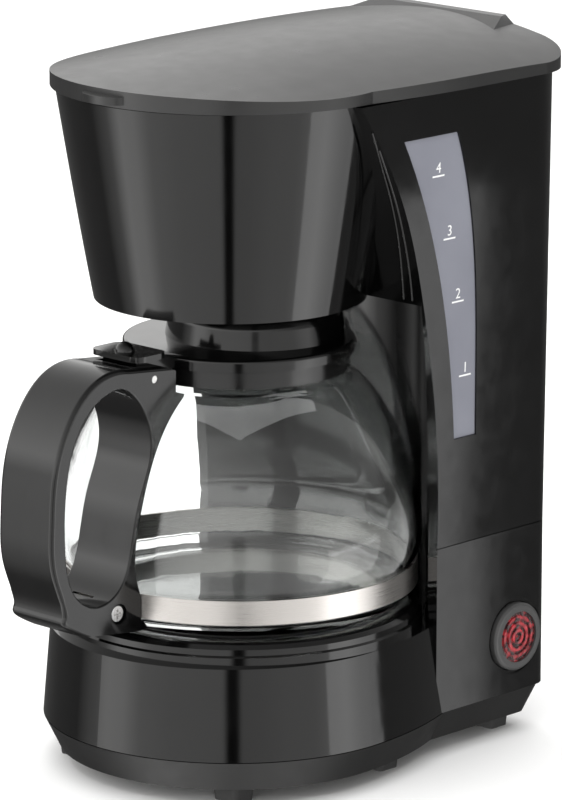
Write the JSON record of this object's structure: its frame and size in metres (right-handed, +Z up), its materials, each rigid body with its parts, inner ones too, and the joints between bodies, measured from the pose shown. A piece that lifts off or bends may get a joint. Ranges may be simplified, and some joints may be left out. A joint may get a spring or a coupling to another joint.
{
  "type": "drip coffee maker",
  "caption": "Drip coffee maker: round-fronted base with hotplate, rear tank column with water window, tapered brew head with hinged lid, and glass jug with handle.",
  "frame": {"origin": "centre of the overall bounding box in plan, at the level of the foot pads' undersides", "axes": "+Z up, -Y towards the jug handle and the round front, +X towards the water window and power button side"},
  "size_m": [0.134, 0.2082, 0.2531],
  "materials": {
    "black_gloss": "high-gloss black moulding",
    "lid_black": "satin-gloss dark grey moulding",
    "jug_black": "gloss black moulding",
    "base_plate_black": "satin black moulding",
    "rubber_black": "matt rubber",
    "zinc_steel": "zinc-plated steel",
    "plate_black": "non-stick coated steel",
    "silicone_grey": "translucent grey silicone",
    "silicone_red": "red silicone",
    "cast_aluminium": "extruded aluminium",
    "ceramic_white": "white ceramic and tin",
    "fibre_sleeve": "glass-fibre sleeve",
    "window_grey": "frosted grey translucent plastic",
    "tank_clear": "milky translucent plastic",
    "button_grey": "satin dark grey moulding",
    "lens_red": "red translucent lens",
    "inner_black": "matt black heat-proof plastic",
    "natural_plastic": "natural heat-proof plastic",
    "spring_steel": "spring wire",
    "jug_glass": "clear borosilicate glass",
    "band_steel": "bright circumferentially brushed steel",
    "collar_grey": "dark grey gloss",
    "pin_steel": "bright steel"
  },
  "bodies": {
    "machine": {"base_shell": "black_gloss", "bottom_plate": "base_plate_black", "rubber_feet": "rubber_black", "base_screws": "zinc_steel", "hotplate": "plate_black", "hotplate_gasket": "silicone_red", "heating_element": "cast_aluminium", "heater_water_tube": "cast_aluminium", "heater_clamp": "zinc_steel", "clamp_nut": "zinc_steel", "thermostat": "ceramic_white", "thermal_fuse": "fibre_sleeve", "cold_hose": "silicone_grey", "hot_hose": "silicone_grey", "hose_clips": "spring_steel", "switch_body": "inner_black", "switch_bracket": "zinc_steel", "cord_gland": "inner_black", "main_housing": "black_gloss", "housing_screws": "zinc_steel", "water_window": "window_grey", "water_tank": "tank_clear", "check_valve": "silicone_grey", "riser_tube": "silicone_grey", "shower_arm": "natural_plastic", "filter_holder": "inner_black", "drip_stop_spring": "spring_steel"},
    "lid": {"lid": "lid_black", "lid_hinge_pins": "pin_steel"},
    "power_button": {"power_button": "button_grey", "button_lens": "lens_red"},
    "drip_stop": {"drip_stop_stem": "natural_plastic", "drip_stop_seal": "silicone_red"},
    "jug": {"glass_jug": "jug_glass", "steel_band": "band_steel", "collar_ring": "collar_grey", "jug_handle": "jug_black", "handle_screw": "pin_steel", "handle_nut": "zinc_steel", "jug_lid_pin": "pin_steel"},
    "jug_lid": {"jug_lid": "jug_black"}
  },
  "joints": [
    {"name": "lid_hinge", "type": "hinge", "parent": "machine", "child": "lid", "pos_m": [0, 0.0996, 0.2444], "axis": [-1, 0, 0], "range_deg": [0, 80]},
    {"name": "power_button_press", "type": "slide", "parent": "machine", "child": "power_button", "axis": [-1, 0, 0], "range_m": [0, 0.0025], "stiffness_N_per_m": 400},
    {"name": "drip_stop_lift", "type": "slide", "parent": "machine", "child": "drip_stop", "axis": [0, 0, 1], "range_m": [0, 0.003], "stiffness_N_per_m": 300, "deforming": ["drip_stop_spring"]},
    {"name": "jug_slide_out", "type": "slide", "parent": "machine", "child": "jug", "axis": [0, -1, 0], "range_m": [0, 0.165]},
    {"name": "jug_lid_hinge", "type": "hinge", "parent": "jug", "child": "jug_lid", "pos_m": [0, -0.0554, 0.1456], "axis": [1, 0, 0], "range_deg": [0, 2]}
  ]
}
